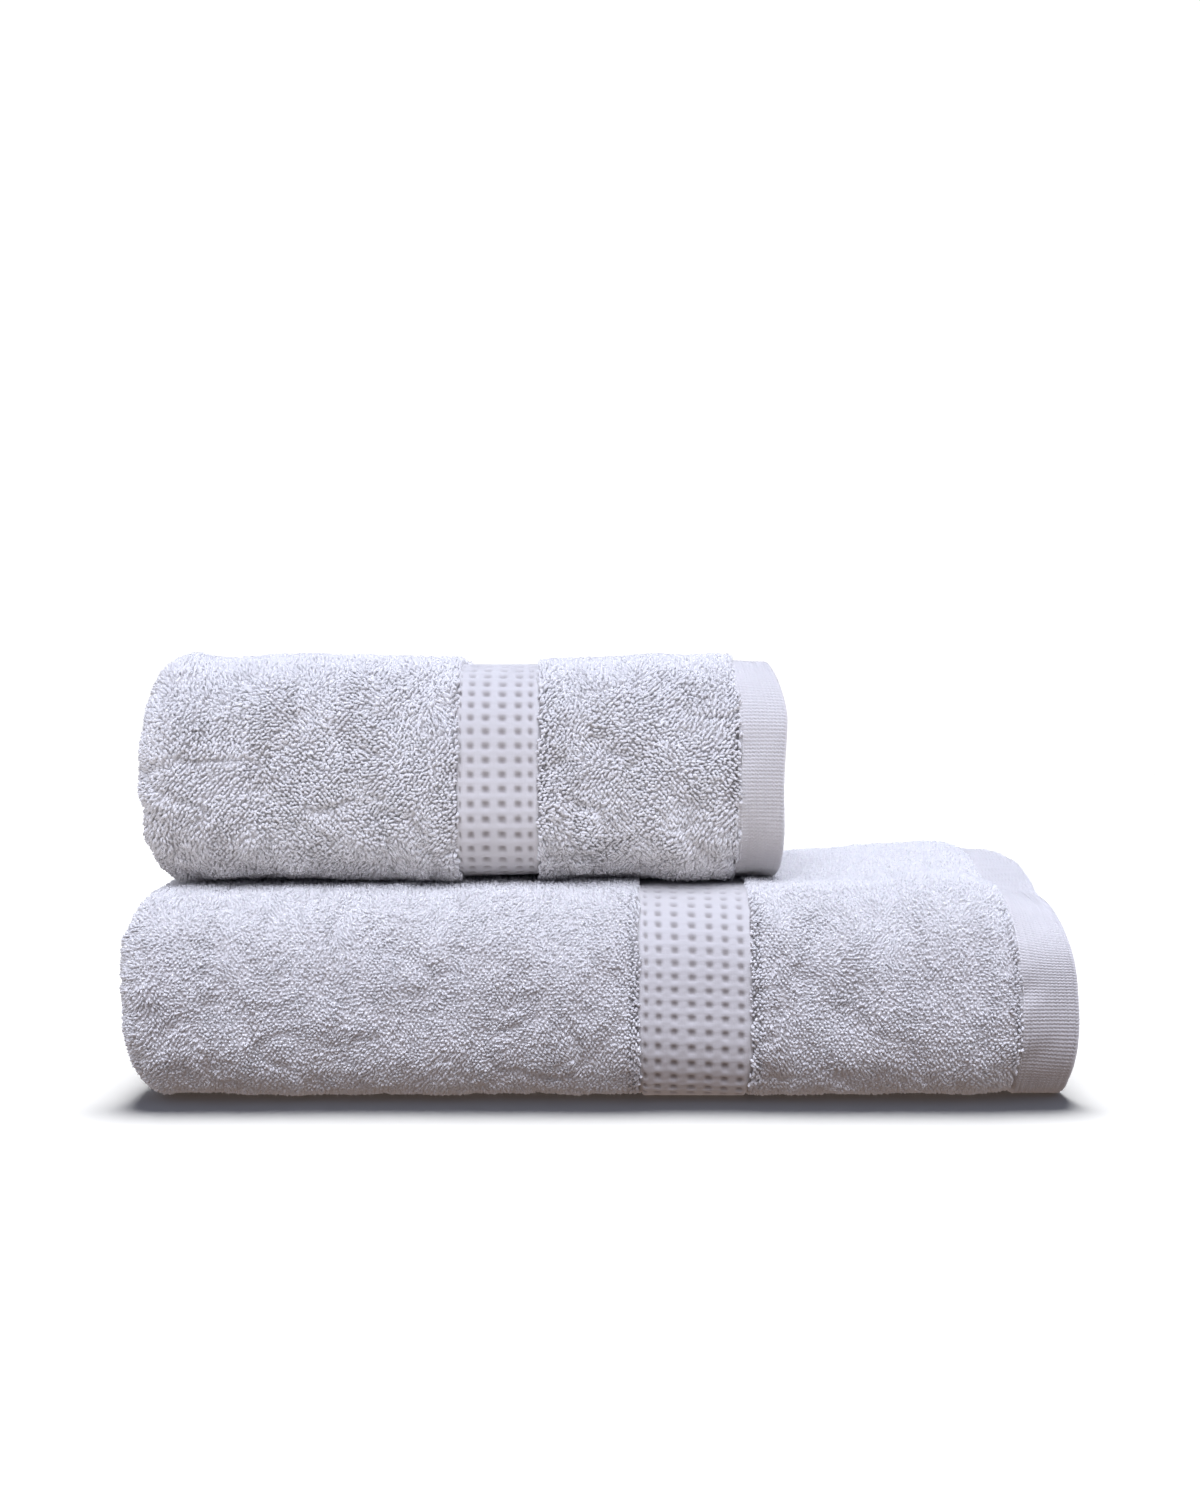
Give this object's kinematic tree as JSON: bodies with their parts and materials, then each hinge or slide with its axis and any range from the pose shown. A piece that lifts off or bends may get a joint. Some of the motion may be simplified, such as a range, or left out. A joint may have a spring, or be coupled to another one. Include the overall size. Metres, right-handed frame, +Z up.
{
  "type": "bath towel set",
  "caption": "Folded white terry hand towel on a folded terry bath towel, with waffle border bands and flat ribbed hems.",
  "frame": {"origin": "on the surface the set lies on, below the middle of the folded bath towel", "axes": "+X to the towels' hemmed end, +Y to the back, +Z up; the big round folds face -Y"},
  "size_m": [0.355, 0.233, 0.1683],
  "materials": {
    "terry_pile": "matt looped cotton pile",
    "waffle_band": "matt waffle weave",
    "flat_hem": "matt ribbed flat weave",
    "sewing_thread": "satin cotton thread"
  },
  "bodies": {
    "bath_towel": {"bath_towel_bottom_leaf_border_band": "waffle_band", "bath_towel_bottom_leaf_end_hem": "flat_hem", "bath_towel_bottom_leaf_end_strip": "terry_pile", "bath_towel_bottom_leaf_hem_stitching": "sewing_thread", "bath_towel_bottom_leaf_inner_plies": "terry_pile", "bath_towel_bottom_leaf_terry_field": "terry_pile", "bath_towel_top_leaf_border_band": "waffle_band", "bath_towel_top_leaf_end_hem": "flat_hem", "bath_towel_top_leaf_end_strip": "terry_pile", "bath_towel_top_leaf_hem_stitching": "sewing_thread", "bath_towel_top_leaf_inner_plies": "terry_pile", "bath_towel_top_leaf_side_hem": "flat_hem", "bath_towel_top_leaf_terry_field": "terry_pile", "bath_towel_tucked_leaf_border_band": "waffle_band", "bath_towel_tucked_leaf_end_hem": "flat_hem", "bath_towel_tucked_leaf_end_strip": "terry_pile", "bath_towel_tucked_leaf_hem_stitching": "sewing_thread", "bath_towel_tucked_leaf_inner_plies": "terry_pile", "bath_towel_tucked_leaf_terry_field": "terry_pile"},
    "hand_towel": {"hand_towel_bottom_leaf_border_band": "waffle_band", "hand_towel_bottom_leaf_end_hem": "flat_hem", "hand_towel_bottom_leaf_end_strip": "terry_pile", "hand_towel_bottom_leaf_hem_stitching": "sewing_thread", "hand_towel_bottom_leaf_inner_plies": "terry_pile", "hand_towel_bottom_leaf_terry_field": "terry_pile", "hand_towel_tucked_leaf_border_band": "waffle_band", "hand_towel_tucked_leaf_end_hem": "flat_hem", "hand_towel_tucked_leaf_end_strip": "terry_pile", "hand_towel_tucked_leaf_hem_stitching": "sewing_thread", "hand_towel_tucked_leaf_inner_plies": "terry_pile", "hand_towel_tucked_leaf_terry_field": "terry_pile"},
    "hand_towel_top_leaf": {"hand_towel_top_leaf_border_band": "waffle_band", "hand_towel_top_leaf_end_hem": "flat_hem", "hand_towel_top_leaf_end_strip": "terry_pile", "hand_towel_top_leaf_hem_stitching": "sewing_thread", "hand_towel_top_leaf_inner_plies": "terry_pile", "hand_towel_top_leaf_side_hem": "flat_hem", "hand_towel_top_leaf_terry_field": "terry_pile"}
  },
  "joints": [
    {"name": "hand_towel_lift", "type": "slide", "parent": "bath_towel", "child": "hand_towel", "axis": [0, 0, 1], "range_m": [0, 0.12]},
    {"name": "hand_towel_leaf_open", "type": "hinge", "parent": "hand_towel", "child": "hand_towel_top_leaf", "pos_m": [0, -0.10165, 0.14015], "axis": [1, 0, 0], "range_deg": [0, 90]}
  ]
}
